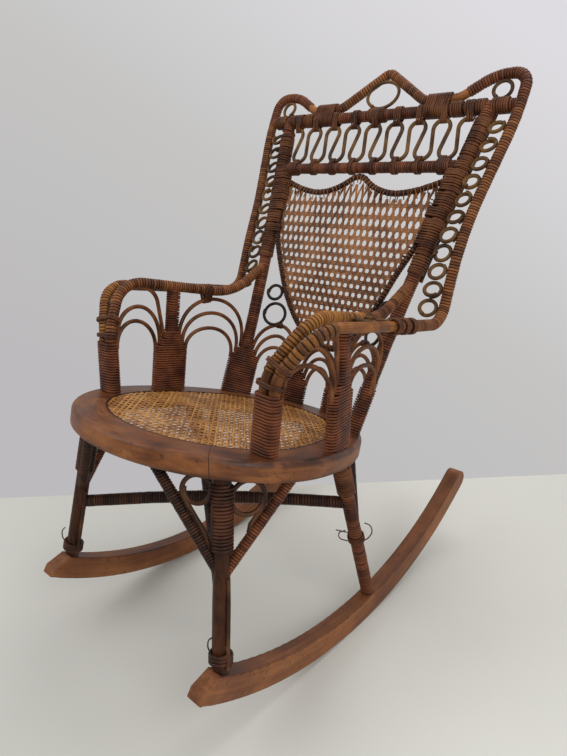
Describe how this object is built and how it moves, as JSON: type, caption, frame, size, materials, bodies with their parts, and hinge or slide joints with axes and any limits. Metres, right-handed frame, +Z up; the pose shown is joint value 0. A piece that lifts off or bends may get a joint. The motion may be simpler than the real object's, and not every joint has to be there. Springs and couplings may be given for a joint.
{
  "type": "wicker rocking chair",
  "caption": "Wicker rocking chair with bow rockers, egg-shaped wood seat rim, cane seat, cane shield back, scrolled wings and cane-wound arms.",
  "frame": {"origin": "on the floor, in the middle plane, midway between the front and rear ends of the rockers", "axes": "+Z up, the sitter faces -Y, +X is the sitter's left"},
  "size_m": [0.607, 0.822, 1.0395],
  "materials": {
    "stained_wood": "worn stained varnish",
    "wrapped_rattan": "satin stained rattan",
    "bent_reed": "satin stained reed",
    "binding_cane": "satin aged cane",
    "woven_cane": "satin aged cane"
  },
  "bodies": {
    "root": {"arm_rod_left": "wrapped_rattan", "arm_rod_right": "wrapped_rattan", "back_cane": "woven_cane", "back_palmette_left": "wrapped_rattan", "back_palmette_right": "wrapped_rattan", "back_post_left": "wrapped_rattan", "back_post_right": "wrapped_rattan", "cane_ties": "binding_cane", "centre_arches": "bent_reed", "crest_rod": "wrapped_rattan", "crest_wraps": "binding_cane", "foot_collars": "binding_cane", "front_arches_left": "bent_reed", "front_arches_right": "bent_reed", "front_brace_left": "wrapped_rattan", "front_brace_right": "wrapped_rattan", "front_leg_left": "wrapped_rattan", "front_leg_right": "wrapped_rattan", "front_leg_windings": "binding_cane", "front_post_windings": "binding_cane", "leg_splints": "bent_reed", "lower_stretcher": "wrapped_rattan", "mid_palmette_left": "wrapped_rattan", "mid_palmette_right": "wrapped_rattan", "mid_post_left": "wrapped_rattan", "mid_post_right": "wrapped_rattan", "ornament_rings": "bent_reed", "outer_bow_left": "wrapped_rattan", "outer_bow_right": "wrapped_rattan", "palmette_windings": "binding_cane", "rail_serpentine": "bent_reed", "rear_arches_left": "bent_reed", "rear_arches_right": "bent_reed", "rear_brace_left": "wrapped_rattan", "rear_brace_right": "wrapped_rattan", "rear_leg_left": "wrapped_rattan", "rear_leg_right": "wrapped_rattan", "rear_leg_windings": "binding_cane", "rear_palmette_left": "wrapped_rattan", "rear_palmette_right": "wrapped_rattan", "rim_plug": "stained_wood", "rocker_left": "stained_wood", "rocker_right": "stained_wood", "seat_cane": "woven_cane", "seat_rim": "stained_wood", "seat_spline": "binding_cane", "second_rail": "wrapped_rattan", "shield_frame": "wrapped_rattan", "shield_top_rod": "wrapped_rattan", "side_arches_left": "bent_reed", "side_arches_right": "bent_reed", "side_brace_left": "wrapped_rattan", "side_brace_right": "wrapped_rattan", "top_rail": "wrapped_rattan", "underseat_scrolls": "bent_reed", "upper_stretcher": "wrapped_rattan", "wing_chain_left": "bent_reed", "wing_chain_right": "bent_reed", "wing_spine_left": "bent_reed", "wing_spine_right": "bent_reed"}
  },
  "joints": []
}
